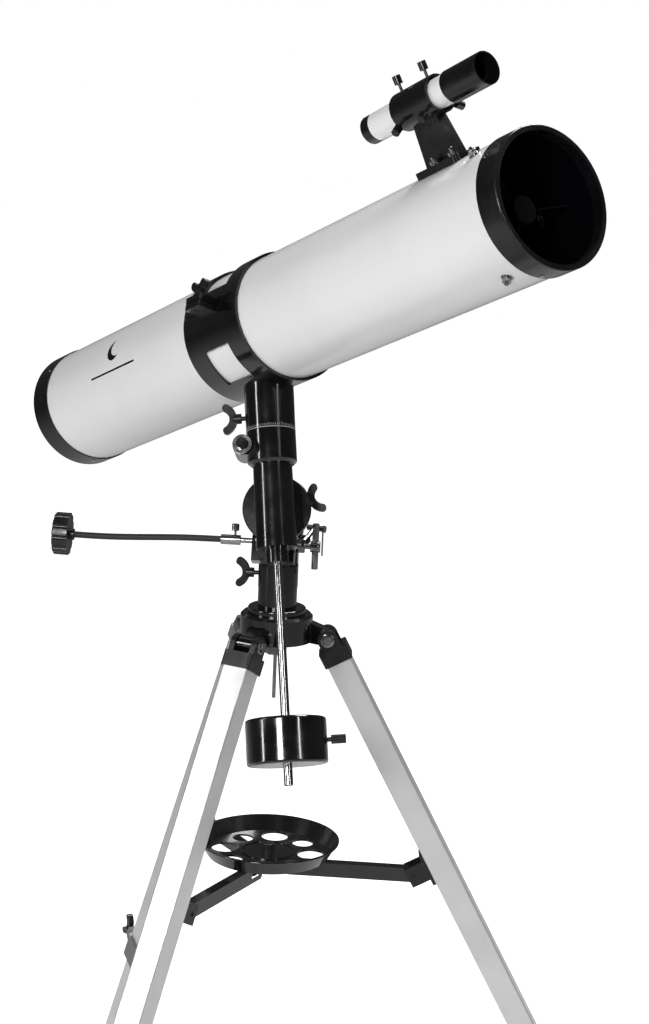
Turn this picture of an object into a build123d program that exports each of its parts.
from build123d import *
import os
from math import cos, degrees, hypot, pi, radians, sin, tan

# A small Newtonian reflector on a German equatorial mount and a folding aluminium tripod.
# Millimetres, +Z up, floor at Z = 0. The mount is drawn with its polar axis in the YZ plane,
# rising towards -Y, and everything that turns is drawn in the pose it is stored in.

# ---------------------------------------------------------------- driving dimensions
centre_x, centre_y = -71.3, 12.2  # tripod axis, measured from the middle of the footprint
latitude = 22.0  # height of the polar axis above the horizon
hour_angle = 6.7  # declination axis, turned about the polar axis
pole_angle = 39.5  # tube, turned about the declination axis away from the polar axis
head_height = 765.0  # top face of the tripod head
polar_height = 874.0  # where the polar axis crosses the tripod axis
polar_reach = 100.0  # tripod axis to declination axis, along the polar axis
tube_reach = 200.0  # polar axis to tube axis, along the declination axis

tube_radius = 70.0
tube_wall = 1.0
tube_front = 466.8  # front face of the front ring, from the declination axis
tube_rear = 401.2  # rear face of the mirror cell, from the declination axis
ring_wall = 1.8
front_ring_depth, mouth_radius, skirt_depth = 27.0, 66.0, 12.0
cell_depth = 32.0
mirror_radius = 57.0
secondary_station = 361.8
secondary_radius = 15.0
vane_station = 417.0
vane_start = 44.5  # first spider vane, round the tube from the declination axis
focuser_angle = -75.5
finder_angle = 25.0
finder_height = 136.0  # finder axis from tube axis

leg_azimuths = {"a": 3.1, "b": 123.1, "c": 243.1}
leg_tilt = 28.4
leg_pivot_radius = 60.0
leg_pivot_height = 737.0
leg_width, leg_depth, leg_wall = 31.7, 29.4, 1.6
leg_upper_end = 588.0
inner_width, inner_depth, inner_wall = 26.0, 23.6, 1.5
inner_start, inner_end = 350.0, 812.0
clip_station, clip_reach = 303.6, 35.7
tray_radius, tray_height = 84.0, 16.0
tray_floor = 474.0
brace_pin_radius, brace_pin_height = 28.0, 456.0

running = 0.05  # radial gap of a shaft in its bore
fixed = 0.03  # radial gap of a pressed or screwed piece
sliding = 0.3  # gap between long pieces that slide or clamp
side_gap = 0.3  # gap between faces that turn past each other

pivot_drop = 28.0  # latitude pivot below the polar axis
pivot_boss = 11.5
ear_inside, ear_outside = 14.0, 22.0
column_radius, post_radius = 23.0, 13.0
collar_top, column_top = 795.0, 822.0
shaft_radius = 12.0
polar_wheel_radius, polar_worm_drop = 26.5, 34.2
wheel_thickness = 10.0
polar_wheel_station = 59.0
circle_radius = 38.5
housing_radius = 21.0
polar_lock_station, polar_lock_angle = 74.0, 27.0
dec_shaft_radius = 10.0
dec_wheel_radius, dec_worm_offset = 22.0, 30.6
dec_worm_level = 61.0
dec_body_radius, dec_drum_radius = 21.6, 27.4
head_radius = 27.8
saddle_face = 80.0  # underside of the saddle, from the tube axis
head_bottom, drum_top = 121.8, 122.1  # from the tube axis
drum_bottom, body_bottom, boss_bottom = 159.0, 252.7, 268.8
rod_radius, rod_end = 5.0, 510.7
weight_radius, weight_top, weight_length = 44.0, 439.0, 49.7

cradle_middle, cradle_half, window_half = -4.0, 51.0, 23.0
cradle_wall = 3.2
split_angle = 80.0
lug_reach, lug_bolt = 96.0, 88.0
hinge_reach = 79.0

os.makedirs("parts", exist_ok=True)


def write(piece, name):
    """Label a finished piece and write it to its own file."""
    piece.part.label = name
    export_step(piece.part, f"parts/{name}.step")


def seat(base, at, outward, along):
    """A plane at a point of another plane, with its directions given in that plane."""
    axes = (base.x_dir, base.y_dir, base.z_dir)
    z_dir = sum((a * k for a, k in zip(axes, outward)), Vector(0, 0, 0))
    x_dir = sum((a * k for a, k in zip(axes, along)), Vector(0, 0, 0))
    return Plane(origin=base.from_local_coords(at), x_dir=x_dir, z_dir=z_dir)


def turned(base, station, angle, outward=True):
    """A plane on a tube's axis that faces out at an angle round the tube, or along the tube."""
    a = radians(angle)
    radial = base.x_dir * cos(a) + base.y_dir * sin(a)
    origin = base.origin + base.z_dir * station
    if outward:
        return Plane(origin=origin, x_dir=base.z_dir, z_dir=radial)
    return Plane(origin=origin, x_dir=radial, z_dir=base.z_dir)


# ---------------------------------------------------------------- axes and planes
lat, ra, dec = radians(latitude), radians(hour_angle), radians(pole_angle)
polar_dir = Vector(0, -cos(lat), sin(lat))
polar_up = Vector(0, sin(lat), cos(lat))
dec_dir = polar_up * cos(ra) - Vector(1, 0, 0) * sin(ra)
dec_side = dec_dir.cross(polar_dir)
tube_dir = polar_dir * cos(dec) + dec_side * sin(dec)

ground = Plane(origin=(centre_x, centre_y, 0), x_dir=(1, 0, 0), z_dir=(0, 0, 1))
crossing = ground.from_local_coords((0, 0, polar_height)) + polar_dir * polar_reach
polar = Plane(origin=crossing, x_dir=(1, 0, 0), z_dir=polar_dir)
decl = Plane(origin=crossing, x_dir=dec_side, z_dir=dec_dir)
tube = Plane(origin=crossing + dec_dir * tube_reach, x_dir=dec_dir, z_dir=tube_dir)
pivot_height = polar_height - pivot_drop / cos(lat)
pivot = ground.from_local_coords((0, 0, pivot_height))


def level(distance):
    """Height on the declination axis of a distance measured down from the tube axis."""
    return tube_reach - distance


# ---------------------------------------------------------------- knobs
wing_radius, wing_sweep, wing_height, wing_thickness = 14.5, 62.0, 8.5, 7.0
knob_hub_radius, knob_hub_start, knob_hub_length = 5.6, 5.0, 9.0
stud_radius, stud_depth = 2.5, 8.0


def wing_knob(plane, name, depth=stud_depth, start=knob_hub_start, bend_radius=wing_radius):
    """A moulded wing on a steel stud. The plane faces out of the casting, x along the wing."""
    side = Plane(origin=plane.origin, x_dir=plane.x_dir, z_dir=-plane.y_dir)
    middle = start + knob_hub_length + bend_radius
    with BuildPart() as knob:
        with BuildSketch(plane.offset(start)):
            Circle(knob_hub_radius)
        extrude(amount=knob_hub_length)
        with BuildSketch(side):
            with BuildLine(mode=Mode.PRIVATE):
                bend = CenterArc((0, middle), bend_radius, 270 - wing_sweep, 2 * wing_sweep)
            SlotArc(bend, wing_height)
        extrude(amount=wing_thickness / 2, both=True)
        with BuildSketch(plane.offset(-depth)):
            Circle(stud_radius)
        extrude(amount=depth + start + 1)
    write(knob, name)


def stud_hole(plane, depth=stud_depth + 1):
    """The threaded hole of a wing knob, cut into the casting being built."""
    with BuildSketch(plane.offset(2)) as hole:
        Circle(stud_radius + running)
    extrude(hole.sketch, amount=-depth - 2, mode=Mode.SUBTRACT)


azimuth_knob_plane = seat(ground, (-column_radius, 0, 810), (-1, 0, 0), (0, 0, 1))
lock_x, lock_y = cos(radians(polar_lock_angle)), sin(radians(polar_lock_angle))
polar_knob_plane = seat(polar, (housing_radius * lock_x, housing_radius * lock_y, -polar_lock_station),
                        (lock_x, lock_y, 0), (-lock_y, lock_x, 0))
dec_knob_plane = seat(decl, (-head_radius, 0, level(104)), (-1, 0, 0), (0, 0, 1))
cradle_knob_radial = turned(tube, cradle_middle, split_angle, outward=False)
cradle_knob_plane = seat(cradle_knob_radial, (lug_bolt, -8.2, 0), (0, -1, 0), (0, 0, 1))

# ---------------------------------------------------------------- tripod head
hub_radius, hub_thickness = 42.0, 32.0
tongue_radius, tongue_half = 10.0, 10.0
spigot_radius = 5.0


def leg_plane(azimuth, along=0.0):
    """A plane across a leg: x is tangential, y faces out of the leg's back, z runs down it."""
    a, t = radians(azimuth), radians(leg_tilt)
    out = Vector(cos(a), sin(a), 0)
    down = out * sin(t) - Vector(0, 0, 1) * cos(t)
    origin = ground.origin + out * leg_pivot_radius + Vector(0, 0, leg_pivot_height)
    return Plane(origin=origin + down * along, x_dir=(-sin(a), cos(a), 0), z_dir=down)


def hinge_plane(azimuth):
    """A plane through a leg's pivot, square to its hinge axis: x points out, y points up."""
    a = radians(azimuth)
    origin = leg_plane(azimuth).origin
    return Plane(origin=origin, x_dir=(cos(a), sin(a), 0), z_dir=(sin(a), -cos(a), 0))


with BuildPart() as tripod_head:
    with BuildSketch(ground.offset(head_height - hub_thickness)):
        Circle(hub_radius)
    extrude(amount=hub_thickness)
    chamfer(tripod_head.edges().group_by(Axis.Z)[-1], 3)
    for azimuth in leg_azimuths.values():
        with BuildSketch(hinge_plane(azimuth)):
            Circle(tongue_radius)
            Polygon((0, tongue_radius), (-30, 22), (-30, -4), (-6, -tongue_radius + 2), align=None)
        extrude(amount=tongue_half, both=True)
        with BuildSketch(hinge_plane(azimuth)):
            Circle(3 + running)
        extrude(amount=tongue_half + 1, both=True, mode=Mode.SUBTRACT)
    with BuildSketch(ground.offset(head_height - hub_thickness)):
        Circle(spigot_radius + sliding)
    extrude(amount=hub_thickness, mode=Mode.SUBTRACT)
write(tripod_head, "tripod_head")

bolt_half = 18.2
with BuildPart() as leg_hinge_bolts:
    for azimuth in leg_azimuths.values():
        hinge = hinge_plane(azimuth)
        with BuildSketch(hinge):
            Circle(3)
        extrude(amount=bolt_half, both=True)
        for facing in (1, -1):
            with BuildSketch(hinge.offset(facing * bolt_half)):
                RegularPolygon(6, 6)
            extrude(amount=facing * 4)
write(leg_hinge_bolts, "leg_hinge_bolts")

with BuildPart() as mount_bolt:
    with BuildSketch(ground.offset(716)):
        RegularPolygon(13, 6)
    extrude(amount=head_height - hub_thickness - 716)
    with BuildSketch(ground.offset(730)):
        Circle(spigot_radius)
    extrude(amount=46)
    with BuildSketch(ground.offset(662)):
        Circle(2.2)
    extrude(amount=60)
write(mount_bolt, "mount_bolt")

# ---------------------------------------------------------------- legs and brace
ear_half, ear_thickness = 10.4, 6.6
sleeve_wall = 2.5
clip_ear_gap, clip_ear = 8.3, 3.5
pin_radius = 2.5
arm_outside, arm_wall, arm_height = 13.0, 1.5, 17.0
arm_length = hypot(
    leg_pivot_radius + clip_station * sin(radians(leg_tilt)) - clip_reach * cos(radians(leg_tilt)) - brace_pin_radius,
    brace_pin_height - leg_pivot_height + clip_station * cos(radians(leg_tilt)) + clip_reach * sin(radians(leg_tilt)),
)
slot_run, slot_half = 12.6, 3.3
hub_pin_radius, blade_half = 2.0, 2.0
clamp_start, clamp_end = 574.0, 612.0
foot_start = 790.0

for name, azimuth in leg_azimuths.items():
    leg = leg_plane(azimuth)
    hinge = hinge_plane(azimuth)

    with BuildPart() as leg_upper:
        with BuildSketch(leg.offset(14)):
            RectangleRounded(leg_width, leg_depth, 2)
            RectangleRounded(leg_width - 2 * leg_wall, leg_depth - 2 * leg_wall, 1, mode=Mode.SUBTRACT)
        extrude(amount=leg_upper_end - 14)
    write(leg_upper, f"leg_{name}_upper")

    clip = seat(leg, (0, -clip_reach, clip_station), (1, 0, 0), (0, 1, 0))
    with BuildPart() as fittings:
        # top bracket: two ears on the hinge bolt, a sleeve round the leg
        for facing in (1, -1):
            with BuildSketch(seat(leg, (facing * ear_half, 0, 0), (facing, 0, 0), (0, 1, 0))):
                Circle(11.5)
                with Locations((0, facing * 7)):
                    Rectangle(23, 14)
            extrude(amount=ear_thickness)
        with BuildSketch(leg.offset(12)):
            RectangleRounded(leg_width + 2 * sleeve_wall, leg_depth + 2 * sleeve_wall, 3)
        extrude(amount=18)
        with BuildSketch(leg.offset(14)):
            RectangleRounded(leg_width + 2 * fixed, leg_depth + 2 * fixed, 2)
        extrude(amount=17, mode=Mode.SUBTRACT)
        with BuildSketch(hinge):
            Circle(3 + running)
        extrude(amount=30, both=True, mode=Mode.SUBTRACT)
        # clip that holds the outer end of the brace arm
        for facing in (1, -1):
            with BuildSketch(clip.offset(facing * clip_ear_gap)):
                with Locations((clip_reach / 2 - leg_depth / 4 - 3, 0)):
                    Rectangle(clip_reach - leg_depth / 2 + 6, 24)
            extrude(amount=facing * clip_ear)
        with BuildSketch(leg.offset(clip_station - 20)):
            with Locations((0, -leg_depth / 2 - 2.1)):
                Rectangle(2 * (clip_ear_gap + clip_ear), 4)
        extrude(amount=40)
        with BuildSketch(clip):
            Circle(pin_radius)
        extrude(amount=clip_ear_gap + clip_ear + 1.5, both=True)
        # clamp at the lower end, with a wedge-shaped boss for its knob
        with BuildSketch(leg.offset(clamp_start)):
            RectangleRounded(leg_width + 2 * sleeve_wall, leg_depth + 2 * sleeve_wall, 3)
        extrude(amount=clamp_end - clamp_start)
        with BuildSketch(seat(leg, (0, 0, (clamp_start + clamp_end) / 2), (1, 0, 0), (0, 1, 0))):
            Polygon((14, -19), (14, 19), (36, 7), (36, -7), align=None)
        extrude(amount=9, both=True)
        with BuildSketch(leg.offset(clamp_start)):
            RectangleRounded(leg_width + 2 * fixed, leg_depth + 2 * fixed, 2)
        extrude(amount=leg_upper_end - clamp_start, mode=Mode.SUBTRACT)
        with BuildSketch(leg.offset(leg_upper_end)):
            RectangleRounded(inner_width + 2 * sliding, inner_depth + 2 * sliding, 2)
        extrude(amount=40, mode=Mode.SUBTRACT)
        knob_plane = seat(leg, (0, 36, 600), (0, 1, 0), (0, 0, 1))
        stud_hole(knob_plane, 36 - inner_depth / 2)
    write(fittings, f"leg_{name}_fittings")
    wing_knob(knob_plane, f"leg_{name}_knob", depth=36 - inner_depth / 2 - 0.5, start=1.0)

    with BuildPart() as leg_lower:
        with BuildSketch(leg.offset(inner_start)):
            RectangleRounded(inner_width, inner_depth, 1.5)
            RectangleRounded(inner_width - 2 * inner_wall, inner_depth - 2 * inner_wall, 0.8, mode=Mode.SUBTRACT)
        extrude(amount=inner_end - inner_start)
    write(leg_lower, f"leg_{name}_lower")

    with BuildPart() as foot:
        with BuildSketch(leg.offset(foot_start)):
            RectangleRounded(inner_width + 5, inner_depth + 5, 3)
        extrude(amount=80)
        with BuildSketch(leg.offset(foot_start)):
            RectangleRounded(inner_width + 2 * fixed, inner_depth + 2 * fixed, 1.5)
        extrude(amount=inner_end - foot_start + 0.05, mode=Mode.SUBTRACT)
        split(bisect_by=Plane.XY, keep=Keep.TOP)
    write(foot, f"leg_{name}_foot")

    # brace arm: a pressed channel from the clip to the centre, slotted at its inner end
    a = radians(azimuth)
    hub_pin = ground.from_local_coords((brace_pin_radius * cos(a), brace_pin_radius * sin(a), brace_pin_height))
    arm_dir = hub_pin - clip.origin
    arm = Plane(origin=clip.origin, x_dir=arm_dir, z_dir=leg.x_dir)
    with BuildPart() as spreader_arm:
        with BuildSketch(arm):
            with Locations((arm_length / 2, 0)):
                RectangleRounded(arm_length + 13, arm_height, 4)
        extrude(amount=arm_outside / 2, both=True)
        with BuildSketch(arm):
            with Locations((arm_length / 2, arm_wall if arm.y_dir.Z < 0 else -arm_wall)):
                Rectangle(arm_length + 20, arm_height)
        extrude(amount=arm_outside / 2 - arm_wall, both=True, mode=Mode.SUBTRACT)
        with BuildSketch(arm):
            Circle(pin_radius + running)
        extrude(amount=arm_outside, both=True, mode=Mode.SUBTRACT)
        with BuildSketch(arm):
            with Locations((arm_length - slot_run / 2, 0)):
                SlotCenterToCenter(slot_run, 2 * slot_half)
        extrude(amount=arm_outside, both=True, mode=Mode.SUBTRACT)
        upward = arm.y_dir * (1 if arm.y_dir.Z > 0 else -1)
        notch = Plane(origin=arm.origin, x_dir=arm_dir, z_dir=upward)
        with BuildSketch(notch):
            with Locations((arm_length - slot_run / 2 + 3, 0)):
                Rectangle(slot_run + 18, 2 * blade_half + 1.6)
        extrude(amount=arm_height, mode=Mode.SUBTRACT)
        tip, rise = arm_length + 7, 1 if arm.y_dir.Z > 0 else -1
        with BuildSketch(arm):
            Polygon((tip, 9 * rise), (tip - 15, 9 * rise), (tip, 3.6 * rise), align=None)
        extrude(amount=arm_outside, both=True, mode=Mode.SUBTRACT)
    write(spreader_arm, f"spreader_arm_{name}")

disc_radius, disc_thickness = 32.0, 2.0
tray_wall = 2.5
with BuildPart() as spreader_hub:
    with BuildSketch(ground.offset(tray_floor - tray_wall - disc_thickness)):
        Circle(disc_radius)
    extrude(amount=disc_thickness)
    for azimuth in leg_azimuths.values():
        a = radians(azimuth)
        blade = Plane(origin=ground.origin, x_dir=(cos(a), sin(a), 0), z_dir=(sin(a), -cos(a), 0))
        with BuildSketch(blade):
            with Locations((brace_pin_radius, (brace_pin_height + tray_floor - tray_wall - 5) / 2)):
                Rectangle(9, tray_floor - tray_wall - brace_pin_height + 3)
        extrude(amount=blade_half, both=True)
        with BuildSketch(blade):
            with Locations((brace_pin_radius, brace_pin_height)):
                Circle(hub_pin_radius)
        extrude(amount=arm_outside / 2 + 1, both=True)
    with BuildSketch(ground.offset(tray_floor - tray_wall)):
        Circle(3 + running)
    extrude(amount=-10, mode=Mode.SUBTRACT)
write(spreader_hub, "spreader_hub")

big_hole, small_hole, hole_circle = 16.1, 12.6, 51.5
tray_base_radius = 72.0
with BuildPart() as tray:
    with BuildSketch(ground.offset(tray_floor - tray_wall)):
        Circle(tray_base_radius)
    with BuildSketch(ground.offset(tray_floor - tray_wall + tray_height + tray_wall)):
        Circle(tray_radius)
    loft()
    with BuildSketch(ground.offset(tray_floor)):
        Circle(tray_base_radius - 1.5)
    with BuildSketch(ground.offset(tray_floor + tray_height + 0.01)):
        Circle(tray_radius - 2.2)
    loft(mode=Mode.SUBTRACT)
    with BuildSketch(ground.offset(tray_floor)):
        Circle(31.5)
        Circle(29.5, mode=Mode.SUBTRACT)
    extrude(amount=1)
    with BuildSketch(ground.offset(tray_floor - tray_wall)):
        with PolarLocations(hole_circle, 4, start_angle=-4):
            Circle(big_hole)
        with PolarLocations(hole_circle, 4, start_angle=41):
            Circle(small_hole)
        Circle(3 + running)
    extrude(amount=tray_wall + 2, mode=Mode.SUBTRACT)
write(tray, "tray")

with BuildPart() as tray_knob:
    with BuildSketch(ground.offset(tray_floor)):
        Circle(7.5)
        with PolarLocations(7.8, 10):
            Circle(1.1, mode=Mode.SUBTRACT)
    extrude(amount=10)
    fillet(tray_knob.edges().group_by(Axis.Z)[-1], 1)
    with BuildSketch(ground.offset(tray_floor)):
        Circle(3)
    extrude(amount=-12)
write(tray_knob, "tray_knob")

# ---------------------------------------------------------------- azimuth base and column
flange_radius, flange_thickness = 33.6, 7.0
with BuildPart() as azimuth_base:
    with BuildSketch(ground.offset(head_height)):
        Circle(flange_radius)
    extrude(amount=flange_thickness)
    fillet(azimuth_base.edges().group_by(Axis.Z)[-1], 2)
    with BuildSketch(ground.offset(head_height + flange_thickness)):
        Circle(column_radius - 0.4)
    extrude(amount=collar_top - head_height - flange_thickness)
    with BuildSketch(ground.offset(collar_top)):
        Circle(post_radius)
    extrude(amount=19)
    with BuildSketch(ground.offset(head_height)):
        Circle(spigot_radius + running)
    extrude(amount=14, mode=Mode.SUBTRACT)
write(azimuth_base, "azimuth_base")

across_x = Plane(origin=pivot, x_dir=(0, 1, 0), z_dir=(1, 0, 0))
adjuster_dir = Vector(0.35, 0.85, 0.40)
adjuster_start = pivot + Vector(24, 12, -2)
adjuster = Plane(origin=adjuster_start, x_dir=(0.85, -0.35, 0), z_dir=adjuster_dir)
bolt_radius = 4.0
with BuildPart() as azimuth_column:
    with BuildSketch(ground.offset(collar_top + side_gap)):
        Circle(column_radius)
    extrude(amount=column_top - collar_top - side_gap)
    for facing in (1, -1):
        with BuildSketch(across_x.offset(facing * ear_inside)):
            Circle(pivot_boss)
            with Locations((0, (column_top - 8 - pivot_height) / 2)):
                Rectangle(2 * pivot_boss, pivot_height - column_top + 8)
        extrude(amount=facing * (ear_outside - ear_inside))
    with BuildSketch(adjuster):
        Circle(6)
    extrude(amount=14)
    with BuildSketch(Plane(origin=pivot + Vector(18, 9.5, -3), x_dir=(0, 0, 1), z_dir=(0.5, 0.85, 0.05))):
        Rectangle(12, 6)
    extrude(amount=10)
    with BuildSketch(across_x):
        Circle(bolt_radius + running)
    extrude(amount=40, both=True, mode=Mode.SUBTRACT)
    with BuildSketch(ground.offset(collar_top)):
        Circle(post_radius + running)
    extrude(amount=19.5, mode=Mode.SUBTRACT)
    with BuildSketch(adjuster):
        Circle(3 + running)
    extrude(amount=20, mode=Mode.SUBTRACT)
    stud_hole(azimuth_knob_plane, column_radius - post_radius - 0.1)
write(azimuth_column, "azimuth_column")
wing_knob(azimuth_knob_plane, "azimuth_knob", depth=column_radius - post_radius - 0.5)

with BuildPart() as latitude_bolt:
    with BuildSketch(across_x):
        Circle(bolt_radius)
    extrude(amount=ear_outside + side_gap, both=True)
    with BuildSketch(across_x.offset(-ear_outside - side_gap)):
        RegularPolygon(7.5, 6)
    extrude(amount=-6)
    with BuildSketch(across_x.offset(ear_outside + side_gap)):
        RegularPolygon(8.2, 6)
    extrude(amount=7)
    with BuildSketch(across_x.offset(ear_outside + 7)):
        Circle(3)
    extrude(amount=8)
    with BuildSketch(across_x.offset(ear_outside + 14)):
        Circle(6.5)
    extrude(amount=11)
    with BuildSketch(Plane(origin=pivot + Vector(ear_outside + 19.5, 0, -26), x_dir=(1, 0, 0), z_dir=(0, 0, 1))):
        Circle(3.8)
    extrude(amount=53)
write(latitude_bolt, "latitude_bolt")

with BuildPart() as latitude_adjuster:
    with BuildSketch(adjuster.offset(2)):
        Circle(3)
    extrude(amount=36)
    with BuildSketch(seat(adjuster, (-9, 0, 38), (1, 0, 0), (0, 1, 0))):
        Circle(3.4)
    extrude(amount=20)
    with BuildSketch(seat(adjuster, (10.5, 0, 38), (1, 0, 0), (0, 1, 0))):
        Circle(4.2)
    extrude(amount=3)
    with BuildSketch(Plane(origin=adjuster.from_local_coords((12, 0, 35)), x_dir=(1, 0, 0), z_dir=(0, 0, -1))):
        Circle(1.0)
    extrude(amount=30)
write(latitude_adjuster, "latitude_adjuster")

# ---------------------------------------------------------------- polar axis
drum_radius = 31.5
drum_front, drum_back = 46.2, 69.0
housing_back = 165.0
polar_worm_radius = polar_worm_drop - polar_wheel_radius - 0.2
worm_shaft_radius = 3.0
pivot_local = polar.to_local_coords(pivot)
worm = seat(polar, (0, -polar_worm_drop, -polar_wheel_station), (1, 0, 0), (0, 0, 1))
worm_box_left, worm_box_right = -26.0, 22.0
with BuildPart() as polar_housing:
    with BuildSketch(polar.offset(-housing_back)):
        Circle(housing_radius)
    extrude(amount=housing_back - drum_back)
    with BuildSketch(polar.offset(-drum_back)):
        Circle(drum_radius)
    extrude(amount=drum_back - drum_front)
    with BuildSketch(polar.offset(-housing_back)):
        Circle(housing_radius + 2.5)
    extrude(amount=12)
    with BuildSketch(worm.offset(worm_box_left)):
        Circle(11)
        with Locations((0, 12)):
            Rectangle(22, 24)
    extrude(amount=worm_box_right - worm_box_left)
    with BuildSketch(seat(polar, (0, pivot_local.Y, pivot_local.Z), (1, 0, 0), (0, 0, 1))):
        Circle(pivot_boss)
        with Locations((0, pivot_drop / 2 * (1 if worm.y_dir.dot(polar_up) > 0 else -1))):
            Rectangle(2 * pivot_boss, pivot_drop)
    extrude(amount=ear_inside - side_gap, both=True)
    with BuildSketch(polar.offset(-housing_back)):
        Circle(shaft_radius + running)
    extrude(amount=housing_back, mode=Mode.SUBTRACT)
    with BuildSketch(polar.offset(-polar_wheel_station - wheel_thickness / 2 - side_gap)):
        Circle(polar_wheel_radius + side_gap)
    extrude(amount=30, mode=Mode.SUBTRACT)
    with BuildSketch(worm.offset(worm_box_left + 5)):
        Circle(polar_worm_radius + side_gap)
    extrude(amount=worm_box_right - worm_box_left - 10, mode=Mode.SUBTRACT)
    with BuildSketch(worm.offset(worm_box_left - 1)):
        Circle(worm_shaft_radius + running)
    extrude(amount=worm_box_right - worm_box_left + 2, mode=Mode.SUBTRACT)
    with BuildSketch(across_x):
        Circle(bolt_radius + running)
    extrude(amount=20, both=True, mode=Mode.SUBTRACT)
    stud_hole(polar_knob_plane, 8.5)
write(polar_housing, "polar_housing")
wing_knob(polar_knob_plane, "polar_knob", depth=8.0, start=11.0)

with BuildPart() as polar_circle:
    with BuildSketch(polar.offset(-drum_front + side_gap)):
        Circle(circle_radius)
        Circle(shaft_radius + 2, mode=Mode.SUBTRACT)
    extrude(amount=10)
    chamfer(polar_circle.edges().filter_by(GeomType.CIRCLE).sort_by(SortBy.RADIUS)[-2:], 1.2)
write(polar_circle, "polar_circle")

with BuildPart() as polar_shaft:
    with BuildSketch(polar.offset(-housing_back - 7)):
        Circle(shaft_radius)
    extrude(amount=housing_back + 7 - 24)
    with BuildSketch(polar.offset(-polar_wheel_station - wheel_thickness / 2)):
        Circle(polar_wheel_radius)
    extrude(amount=8.5)
    with BuildSketch(polar.offset(-housing_back - 7.5)):
        RegularPolygon(18, 6)
    extrude(amount=7)
write(polar_shaft, "polar_shaft")

ferrule_start, ferrule_end = 40.0, 62.0
with BuildPart() as polar_worm:
    with BuildSketch(worm.offset(-ferrule_start - 4)):
        Circle(worm_shaft_radius)
    extrude(amount=ferrule_start + 4 + worm_box_right + 6)
    with BuildSketch(worm.offset(worm_box_left + 5 + side_gap)):
        Circle(polar_worm_radius)
    extrude(amount=worm_box_right - worm_box_left - 10 - 2 * side_gap)
    with BuildSketch(worm.offset(-ferrule_end)):
        Circle(5.7)
    extrude(amount=ferrule_end - ferrule_start)
    with BuildSketch(Plane(origin=worm.from_local_coords((0, 0, -46)), x_dir=(1, 0, 0), z_dir=(0, 0, 1))):
        Circle(1.3)
    extrude(amount=12)
    with BuildSketch(Plane(origin=worm.from_local_coords((0, 0, -46)) + Vector(0, 0, 11), x_dir=(1, 0, 0), z_dir=(0, 0, 1))):
        Circle(4.2)
    extrude(amount=7)
write(polar_worm, "polar_worm")

# flexible slow-motion shaft: a stiff cable from the ferrule to its knob, drooping a little
cable_radius = 3.65
cable_route = [(-ferrule_end, 0), (-95, 0), (-130, -1.4), (-168, -3.4), (-203, -4.2), (-229, -3.6)]
cable_points = [worm.from_local_coords((0, 0, x)) + Vector(0, 0, drop) for x, drop in cable_route]
runs = [b - a for a, b in zip(cable_points, cable_points[1:])]
cable_radii = [
    0.45 * min(a.length, b.length) / tan(radians(a.get_angle(b)) / 2) for a, b in zip(runs, runs[1:])
]
print("cable arcs, mm:", [round(r) for r in cable_radii])
with BuildPart() as slow_cable:
    with BuildLine() as route:
        path = FilletPolyline(*cable_points, radius=cable_radii)
    with BuildSketch(Plane(origin=cable_points[0], z_dir=runs[0])):
        Circle(cable_radius)
    sweep(path=path)
print("cable length, mm:", round(path.length, 1), "volume:", round(slow_cable.part.volume),
      "section times length:", round(pi * cable_radius**2 * path.length))
write(slow_cable, "slow_cable")

knob_face = Plane(origin=cable_points[-1], z_dir=runs[-1])
with BuildPart() as slow_knob:
    with BuildSketch(knob_face):
        Circle(6.5)
    extrude(amount=6)
    with BuildSketch(knob_face.offset(5)):
        Circle(24)
        with PolarLocations(25.4, 12):
            Circle(3, mode=Mode.SUBTRACT)
    extrude(amount=17)
    chamfer(slow_knob.faces().sort_by(Axis.X)[0].edges(), 1.5)
write(slow_knob, "slow_knob")

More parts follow.
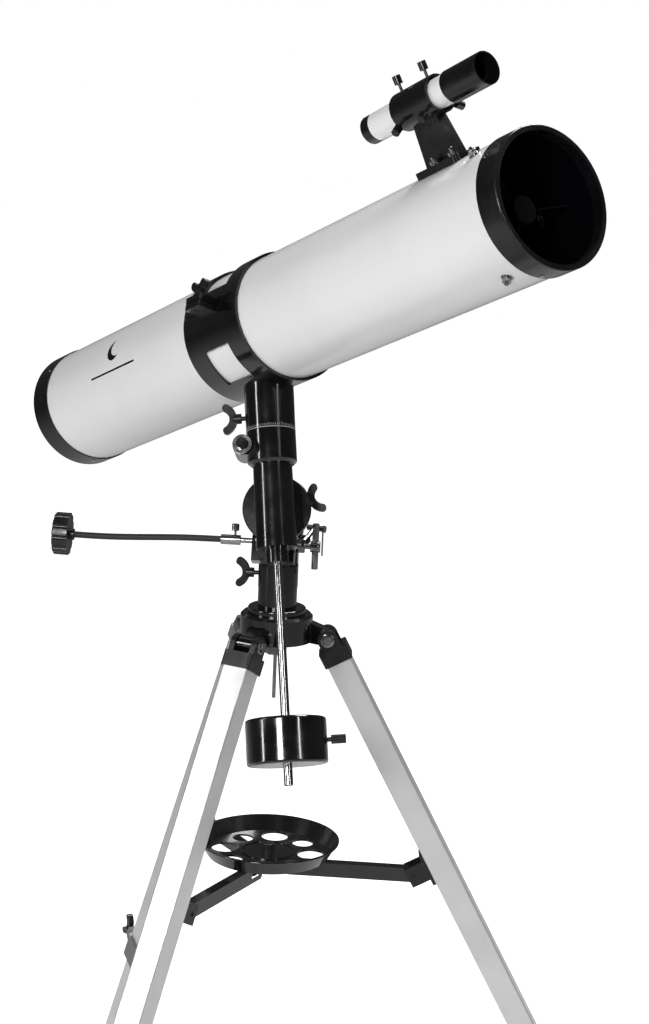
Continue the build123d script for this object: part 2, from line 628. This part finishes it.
# ---------------------------------------------------------------- declination axis
neck_radius, neck_length = 20.0, 34.0
dec_worm_radius = dec_worm_offset - dec_wheel_radius - 0.2
dec_worm_front, dec_worm_back = -22.0, 22.0
dec_worm_axis = seat(decl, (-dec_worm_offset, 0, dec_worm_level), (0, 1, 0), (1, 0, 0))
with BuildPart() as dec_housing:
    with BuildSketch(decl.offset(level(drum_bottom))):
        Circle(dec_drum_radius)
    extrude(amount=drum_bottom - drum_top)
    chamfer(dec_housing.faces().sort_by(Axis.Z)[0].edges(), 3)
    with BuildSketch(decl.offset(level(body_bottom))):
        Circle(dec_body_radius + 1.1)
    with BuildSketch(decl.offset(level(drum_bottom) + 1)):
        Circle(dec_body_radius)
    loft()
    with BuildSketch(decl.offset(level(boss_bottom))):
        Circle(12.5)
    extrude(amount=boss_bottom - body_bottom + 1)
    with BuildSketch(seat(decl, (0, 0, 0), (0, 1, 0), (1, 0, 0))):
        Circle(neck_radius)
    extrude(amount=neck_length)
    with BuildSketch(dec_worm_axis.offset(dec_worm_front)):
        Circle(11)
        with Locations((10, 0)):
            Rectangle(20, 22)
    extrude(amount=dec_worm_back - dec_worm_front)
    with BuildSketch(decl.offset(level(body_bottom) + 4)):
        Circle(dec_shaft_radius + running)
    extrude(amount=160, mode=Mode.SUBTRACT)
    with BuildSketch(decl.offset(dec_worm_level - wheel_thickness / 2 - side_gap)):
        Circle(dec_wheel_radius + side_gap)
    extrude(amount=40, mode=Mode.SUBTRACT)
    with BuildSketch(dec_worm_axis.offset(dec_worm_front + 5)):
        Circle(dec_worm_radius + side_gap)
    extrude(amount=dec_worm_back - dec_worm_front - 10, mode=Mode.SUBTRACT)
    with BuildSketch(dec_worm_axis.offset(dec_worm_front - 1)):
        Circle(worm_shaft_radius + running)
    extrude(amount=dec_worm_back - dec_worm_front + 2, mode=Mode.SUBTRACT)
    with BuildSketch(decl.offset(level(boss_bottom))):
        Circle(rod_radius + fixed)
    extrude(amount=14, mode=Mode.SUBTRACT)
    with BuildSketch(polar.offset(-neck_length - 1)):
        Circle(shaft_radius + fixed)
    extrude(amount=11, mode=Mode.SUBTRACT)
write(dec_housing, "dec_housing")

with BuildPart() as dec_shaft:
    with BuildSketch(decl.offset(level(body_bottom) + 5)):
        Circle(dec_shaft_radius)
    extrude(amount=body_bottom - 5 - saddle_face - 4)
    with BuildSketch(decl.offset(dec_worm_level - wheel_thickness / 2)):
        Circle(dec_wheel_radius)
    extrude(amount=wheel_thickness)
write(dec_shaft, "dec_shaft")

with BuildPart() as dec_worm:
    with BuildSketch(dec_worm_axis.offset(dec_worm_front - 6)):
        Circle(worm_shaft_radius)
    extrude(amount=dec_worm_back - dec_worm_front + 12)
    with BuildSketch(dec_worm_axis.offset(dec_worm_front + 5 + side_gap)):
        Circle(dec_worm_radius)
    extrude(amount=dec_worm_back - dec_worm_front - 10 - 2 * side_gap)
    with BuildSketch(dec_worm_axis.offset(dec_worm_front - side_gap)):
        Circle(10.6)
    extrude(amount=-6)
    with BuildSketch(dec_worm_axis.offset(dec_worm_front - 6)):
        Circle(6.3)
    extrude(amount=-5)
write(dec_worm, "dec_worm")

with BuildPart() as dec_head:
    with BuildSketch(decl.offset(level(head_bottom))):
        Circle(head_radius - 0.5)
    with BuildSketch(decl.offset(level(saddle_face + 0.05))):
        Circle(head_radius)
    loft()
    with BuildSketch(decl.offset(level(head_bottom))):
        Circle(dec_shaft_radius + fixed)
    extrude(amount=head_bottom - saddle_face - 4, mode=Mode.SUBTRACT)
    stud_hole(dec_knob_plane, 14)
write(dec_head, "dec_head")
wing_knob(dec_knob_plane, "dec_knob", depth=13.5, start=4.0)

with BuildPart() as counterweight_rod:
    with BuildSketch(decl.offset(level(rod_end))):
        Circle(rod_radius)
    extrude(amount=rod_end - boss_bottom + 13)
    chamfer(counterweight_rod.faces().sort_by(Axis.Z)[0].edges(), 0.8)
write(counterweight_rod, "counterweight_rod")

weight_middle = level(weight_top + weight_length / 2)
weight_knob_plane = seat(decl, (weight_radius, 0, weight_middle), (1, 0, 0), (0, 0, 1))
with BuildPart() as counterweight:
    with BuildSketch(decl.offset(level(weight_top + weight_length))):
        Circle(weight_radius)
    extrude(amount=weight_length)
    fillet(counterweight.edges(), 3)
    with BuildSketch(decl.offset(level(weight_top + weight_length))):
        Circle(rod_radius + running)
    extrude(amount=weight_length, mode=Mode.SUBTRACT)
    stud_hole(weight_knob_plane, weight_radius - rod_radius - 1)
write(counterweight, "counterweight")

with BuildPart() as counterweight_knob:
    with BuildSketch(weight_knob_plane.offset(-weight_radius + rod_radius + 2)):
        Circle(stud_radius)
    extrude(amount=weight_radius - rod_radius - 2 + 5)
    with BuildSketch(weight_knob_plane.offset(4)):
        Circle(5)
        with PolarLocations(5.4, 8):
            Circle(0.9, mode=Mode.SUBTRACT)
    extrude(amount=16)
write(counterweight_knob, "counterweight_knob")

# ---------------------------------------------------------------- cradle
cradle_inside = tube_radius + sliding
cradle_outside = cradle_inside + cradle_wall
lug_thickness, lug_half = 7.6, 13.0
hinge = turned(tube, cradle_middle, split_angle + 180, outward=False)


def pie(start, stop, radius=120.0):
    """Corner points of a wedge between two angles."""
    steps = 4
    span = [radians(start + (stop - start) * i / steps) for i in range(steps + 1)]
    return [(0, 0)] + [(radius * cos(a), radius * sin(a)) for a in span]


def cradle_shell(start, stop, windows):
    """Half of the cradle: a ring sector with windows, added to the part being built."""
    with BuildSketch(tube.offset(cradle_middle - cradle_half)) as sector:
        Circle(cradle_outside)
        Circle(cradle_inside, mode=Mode.SUBTRACT)
        Polygon(*pie(start, stop), align=None, mode=Mode.INTERSECT)
    extrude(sector.sketch, amount=2 * cradle_half)
    for a, b in windows:
        with BuildSketch(tube.offset(cradle_middle - window_half)) as opening:
            Polygon(*pie(a, b), align=None)
        extrude(opening.sketch, amount=2 * window_half, mode=Mode.SUBTRACT)


split_gap = degrees(0.5 / cradle_outside)
with BuildPart() as cradle_lower:
    cradle_shell(split_angle + split_gap, split_angle + 180 - split_gap, [(116, 152), (208, 242)])
    with BuildSketch(decl.offset(level(saddle_face))):
        Circle(head_radius)
    extrude(amount=14)
    with BuildSketch(cradle_knob_radial.offset(-lug_half)):
        with Locations(((cradle_inside + lug_reach) / 2 + 0.8, lug_thickness / 2 + 0.25)):
            Rectangle(lug_reach - cradle_inside - 1.6, lug_thickness - 0.5)
    extrude(amount=2 * lug_half)
    for start in (-24, 9):
        with BuildSketch(hinge.offset(start)):
            with Locations((hinge_reach, 0)):
                Circle(5)
            with Locations(((cradle_inside + hinge_reach) / 2 + 1, -2.75)):
                Rectangle(hinge_reach - cradle_inside - 2, 4.5)
        extrude(amount=15)
    with BuildSketch(tube.offset(cradle_middle - cradle_half)):
        Circle(cradle_inside)
    extrude(amount=2 * cradle_half, mode=Mode.SUBTRACT)
    with BuildSketch(hinge.offset(-24)):
        with Locations((hinge_reach, 0)):
            Circle(2 - fixed)
    extrude(amount=48)
    with BuildSketch(cradle_knob_plane):
        Circle(3.1)
    extrude(amount=-17, mode=Mode.SUBTRACT)
write(cradle_lower, "cradle_lower")

with BuildPart() as cradle_upper:
    cradle_shell(split_angle - 180 + split_gap, split_angle - split_gap, [(16, 61), (-81, -36)])
    with BuildSketch(cradle_knob_radial.offset(-lug_half)):
        with Locations(((cradle_inside + lug_reach) / 2 + 0.8, -lug_thickness / 2 - 0.25)):
            Rectangle(lug_reach - cradle_inside - 1.6, lug_thickness - 0.5)
    extrude(amount=2 * lug_half)
    with BuildSketch(hinge.offset(-8.7)):
        with Locations((hinge_reach, 0)):
            Circle(5)
        with Locations(((cradle_inside + hinge_reach) / 2 + 1, 2.75)):
            Rectangle(hinge_reach - cradle_inside - 2, 4.5)
    extrude(amount=17.4)
    with BuildSketch(tube.offset(cradle_middle - cradle_half)):
        Circle(cradle_inside)
    extrude(amount=2 * cradle_half, mode=Mode.SUBTRACT)
    with BuildSketch(hinge.offset(-24)):
        with Locations((hinge_reach, 0)):
            Circle(2 + running)
    extrude(amount=48, mode=Mode.SUBTRACT)
    with BuildSketch(cradle_knob_plane):
        Circle(stud_radius + running)
    extrude(amount=-12, mode=Mode.SUBTRACT)
write(cradle_upper, "cradle_upper")
wing_knob(cradle_knob_plane, "cradle_knob", depth=15.5, start=0.6, bend_radius=10.0)

# ---------------------------------------------------------------- optical tube
focuser = turned(tube, secondary_station, focuser_angle)
focuser_hole = 23.0
with BuildPart() as main_tube:
    with BuildSketch(tube.offset(-tube_rear + 4.1)):
        Circle(tube_radius)
        Circle(tube_radius - tube_wall, mode=Mode.SUBTRACT)
    extrude(amount=tube_rear + tube_front - 7.2)
    with BuildSketch(focuser.offset(tube_radius - 20)):
        Circle(focuser_hole)
    extrude(amount=30, mode=Mode.SUBTRACT)
write(main_tube, "main_tube")

with BuildPart() as front_ring:
    with BuildSketch(tube.offset(tube_front - front_ring_depth)):
        Circle(tube_radius + ring_wall)
    extrude(amount=front_ring_depth)
    fillet(front_ring.faces().sort_by(Axis((0, 0, 0), tube_dir))[-1].edges(), 1.5)
    with BuildSketch(tube.offset(tube_front - front_ring_depth)):
        Circle(tube_radius + fixed)
    extrude(amount=front_ring_depth - 3, mode=Mode.SUBTRACT)
    with BuildSketch(tube.offset(tube_front - skirt_depth)):
        Circle(tube_radius - tube_wall - fixed)
    extrude(amount=skirt_depth - 1)
    with BuildSketch(tube.offset(tube_front)):
        Circle(mouth_radius)
    extrude(amount=-skirt_depth, mode=Mode.SUBTRACT)
write(front_ring, "front_ring")

with BuildPart() as mirror_cell:
    with BuildSketch(tube.offset(-tube_rear)):
        Circle(tube_radius + ring_wall - 0.4)
    extrude(amount=cell_depth)
    with BuildSketch(tube.offset(-tube_rear + 4)):
        Circle(tube_radius + fixed)
    extrude(amount=cell_depth, mode=Mode.SUBTRACT)
    with BuildSketch(tube.offset(-tube_rear)):
        Circle(26)
        with PolarLocations(44, 3, start_angle=30):
            Circle(9)
    extrude(amount=4, mode=Mode.SUBTRACT)
    with BuildSketch(tube.offset(-tube_rear + 14)):
        Circle(62)
        Circle(20, mode=Mode.SUBTRACT)
    extrude(amount=6)
    with BuildSketch(tube.offset(-tube_rear - 5)):
        with PolarLocations(48, 3, start_angle=90):
            Circle(3)
        with PolarLocations(57, 3, start_angle=74):
            Circle(2)
    extrude(amount=21)
    with BuildSketch(tube.offset(-tube_rear - 5)):
        with PolarLocations(48, 3, start_angle=90):
            Circle(6)
    extrude(amount=4)
    with BuildSketch(tube.offset(-tube_rear + 20)):
        with PolarLocations(mirror_radius + 2.6, 3, start_angle=30):
            Rectangle(4, 12)
    extrude(amount=17)
write(mirror_cell, "mirror_cell")

mirror_thickness = 16.0
with BuildPart() as primary_mirror:
    with BuildSketch(tube.offset(-tube_rear + 20.1)):
        Circle(mirror_radius)
    extrude(amount=mirror_thickness)
write(primary_mirror, "primary_mirror")

holder_radius = 14.0
mirror_tilt = turned(tube, secondary_station, focuser_angle, outward=False)
slant = Plane(origin=mirror_tilt.origin, x_dir=mirror_tilt.y_dir,
              z_dir=mirror_tilt.x_dir - mirror_tilt.z_dir)
with BuildPart() as spider:
    with BuildSketch(tube.offset(secondary_station - 30)):
        Circle(secondary_radius)
    extrude(amount=vane_station - secondary_station + 18)
    split(bisect_by=slant.offset(-3.1), keep=Keep.BOTTOM)
    with BuildSketch(tube.offset(vane_station - 13)):
        Circle(holder_radius)
    extrude(amount=25)
    for i in range(3):
        vane = turned(tube, vane_station, vane_start + 120 * i, outward=False)
        with BuildSketch(vane.offset(-7)):
            with Locations(((tube_radius - tube_wall) / 2 + 3, 0)):
                Rectangle(tube_radius - tube_wall - 6 - 0.1, 1.0)
        extrude(amount=14)
write(spider, "spider")

with BuildPart() as secondary_mirror:
    with BuildSketch(tube.offset(secondary_station - 30)):
        Circle(secondary_radius)
    extrude(amount=60)
    split(bisect_by=slant, keep=Keep.BOTTOM)
    split(bisect_by=slant.offset(-3), keep=Keep.TOP)
write(secondary_mirror, "secondary_mirror")

# ---------------------------------------------------------------- focuser and eyepiece
drawtube_radius = 19.0
rack_face, rack_half = 21.9, 4.0
pinion_radius = 4.6
pinion_height = 96.0
focuser_top = 118.0
pinion_axis = seat(focuser, (-rack_face - pinion_radius - 0.1, 0, pinion_height), (0, 1, 0), (1, 0, 0))
with BuildPart() as focuser_body:
    with BuildSketch(focuser.offset(55)):
        RectangleRounded(76, 58, 8)
    extrude(amount=21)
    with BuildSketch(tube.offset(secondary_station - 60)):
        Circle(tube_radius + fixed)
    extrude(amount=120, mode=Mode.SUBTRACT)
    with BuildSketch(focuser.offset(74)):
        Circle(24)
    extrude(amount=focuser_top - 74)
    with BuildSketch(focuser.offset(pinion_height - 12)):
        with Locations((-25, 0)):
            Rectangle(20, 28)
    extrude(amount=22)
    with BuildSketch(focuser.offset(50)):
        Circle(drawtube_radius + running)
        with Locations((-17, 0)):
            Rectangle(2 * (rack_face - 17) + 2 * side_gap, 2 * (rack_half + side_gap))
    extrude(amount=90, mode=Mode.SUBTRACT)
    with BuildSketch(pinion_axis):
        Circle(pinion_radius + side_gap)
    extrude(amount=5.3, both=True, mode=Mode.SUBTRACT)
    with BuildSketch(pinion_axis):
        Circle(2.5 + running)
    extrude(amount=30, both=True, mode=Mode.SUBTRACT)
write(focuser_body, "focuser_body")

eyepiece_shoulder, eyepiece_top = 16.0, 26.0
drawtube_start, collar_start, collar_end = 50.0, 122.0, 134.0
with BuildPart() as focuser_drawtube:
    with BuildSketch(focuser.offset(drawtube_start)):
        Circle(drawtube_radius)
    extrude(amount=collar_start - drawtube_start)
    with BuildSketch(focuser.offset(drawtube_start)):
        with Locations((-(rack_face + 15) / 2, 0)):
            Rectangle(rack_face - 15, 2 * rack_half)
    extrude(amount=focuser_top - 2 - drawtube_start)
    with BuildSketch(focuser.offset(collar_start)):
        Circle(22)
    extrude(amount=collar_end - collar_start)
    with BuildSketch(focuser.offset(drawtube_start - 2)):
        Circle(15.875 + running)
    extrude(amount=100, mode=Mode.SUBTRACT)
write(focuser_drawtube, "focuser_drawtube")

with BuildPart() as focuser_knobs:
    with BuildSketch(pinion_axis):
        Circle(2.5)
    extrude(amount=38, both=True)
    with BuildSketch(pinion_axis):
        Circle(pinion_radius)
    extrude(amount=5, both=True)
    for facing in (1, -1):
        with BuildSketch(pinion_axis.offset(facing * 24.6)):
            Circle(14)
            with PolarLocations(14.8, 16):
                Circle(1.4, mode=Mode.SUBTRACT)
        extrude(amount=facing * 14)
write(focuser_knobs, "focuser_knobs")

with BuildPart() as eyepiece:
    with BuildSketch(focuser.offset(collar_end - 26)):
        Circle(15.875)
    extrude(amount=26.5)
    with BuildSketch(focuser.offset(collar_end + 0.05)):
        Circle(19)
    extrude(amount=eyepiece_shoulder)
    with BuildSketch(focuser.offset(collar_end + eyepiece_shoulder)):
        Circle(19)
    with BuildSketch(focuser.offset(collar_end + eyepiece_top)):
        Circle(15)
    loft()
    with BuildSketch(focuser.offset(collar_end + eyepiece_top)):
        Circle(9)
    extrude(amount=-4, mode=Mode.SUBTRACT)
    with BuildSketch(focuser.offset(collar_end - 26)):
        Circle(13)
    extrude(amount=20, mode=Mode.SUBTRACT)
write(eyepiece, "eyepiece")

# ---------------------------------------------------------------- finder
a = radians(finder_angle)
finder_out = tube.x_dir * cos(a) + tube.y_dir * sin(a)
finder = Plane(origin=tube.origin + finder_out * finder_height, x_dir=finder_out, z_dir=tube_dir)
finder_radius = 15.0
finder_rear, finder_front = 276.4, 451.7
shield_start = 402.0
sleeve_start, sleeve_end = 329.0, 384.0
sleeve_radius, sleeve_inside = 19.7, 17.3
foot_start_s, foot_end_s = 326.0, 390.0

with BuildPart() as finder_tube:
    with BuildSketch(finder.offset(finder_rear + 12)):
        Circle(finder_radius - 0.4)
    with BuildSketch(finder.offset(sleeve_start)):
        Circle(finder_radius + 0.2)
    loft()
    with BuildSketch(finder.offset(sleeve_start)):
        Circle(finder_radius + 0.2)
    extrude(amount=shield_start + 8 - sleeve_start)
    with BuildSketch(finder.offset(finder_rear)):
        Circle(finder_radius - 2)
    extrude(amount=200, mode=Mode.SUBTRACT)
write(finder_tube, "finder_tube")

with BuildPart() as finder_fittings:
    # dew shield over the objective end
    with BuildSketch(finder.offset(shield_start)):
        Circle(16.7)
    extrude(amount=finder_front - shield_start)
    with BuildSketch(finder.offset(shield_start)):
        Circle(finder_radius + 0.2 + fixed)
    extrude(amount=8.1, mode=Mode.SUBTRACT)
    with BuildSketch(finder.offset(shield_start + 8)):
        Circle(15.3)
    extrude(amount=100, mode=Mode.SUBTRACT)
    # eyepiece end
    with BuildSketch(finder.offset(finder_rear)):
        Circle(14.6)
    extrude(amount=11.9)
    with BuildSketch(finder.offset(finder_rear + 11)):
        Circle(finder_radius - 2 - fixed)
    extrude(amount=10)
    with BuildSketch(finder.offset(finder_rear)):
        Circle(8)
    extrude(amount=3, mode=Mode.SUBTRACT)
    # six alignment screws, three round each end of the sleeve
    for station in (sleeve_start + 8, sleeve_end - 8):
        for angle in (0, 120, 240):
            screw = turned(finder, station, angle)
            with BuildSketch(screw.offset(finder_radius + 0.25)):
                Circle(1.5)
            extrude(amount=12)
            with BuildSketch(screw.offset(27)):
                Circle(4.3)
            extrude(amount=8.5)
write(finder_fittings, "finder_fittings")

stem_half = 7.0
with BuildPart() as finder_bracket:
    with BuildSketch(finder.offset(sleeve_start)):
        Circle(sleeve_radius)
    extrude(amount=sleeve_end - sleeve_start)
    stem_top = -sleeve_radius + 3
    stem_bottom = tube_radius - finder_height + 2
    stem = seat(finder, (0, 0, (sleeve_start + sleeve_end) / 2), (0, 1, 0), (0, 0, 1))
    down = 1 if stem.y_dir.dot(finder_out) < 0 else -1
    with BuildSketch(stem):
        Polygon((-17, -down * stem_top), (17, -down * stem_top),
                (25, -down * stem_bottom), (-22, -down * stem_bottom), align=None)
    extrude(amount=stem_half, both=True)
    foot_plane = turned(tube, (foot_start_s + foot_end_s) / 2, finder_angle)
    with BuildSketch(foot_plane.offset(60)):
        RectangleRounded(foot_end_s - foot_start_s, 38, 6)
    extrude(amount=15)
    with BuildSketch(tube.offset(foot_start_s - 10)):
        Circle(tube_radius + fixed)
    extrude(amount=foot_end_s - foot_start_s + 20, mode=Mode.SUBTRACT)
    with BuildSketch(finder.offset(sleeve_start - 1)):
        Circle(sleeve_inside)
    extrude(amount=sleeve_end - sleeve_start + 2, mode=Mode.SUBTRACT)
    for station in (sleeve_start + 8, sleeve_end - 8):
        for angle in (0, 120, 240):
            with BuildSketch(turned(finder, station, angle)):
                Circle(1.5 + running)
            extrude(amount=40, mode=Mode.SUBTRACT)
write(finder_bracket, "finder_bracket")
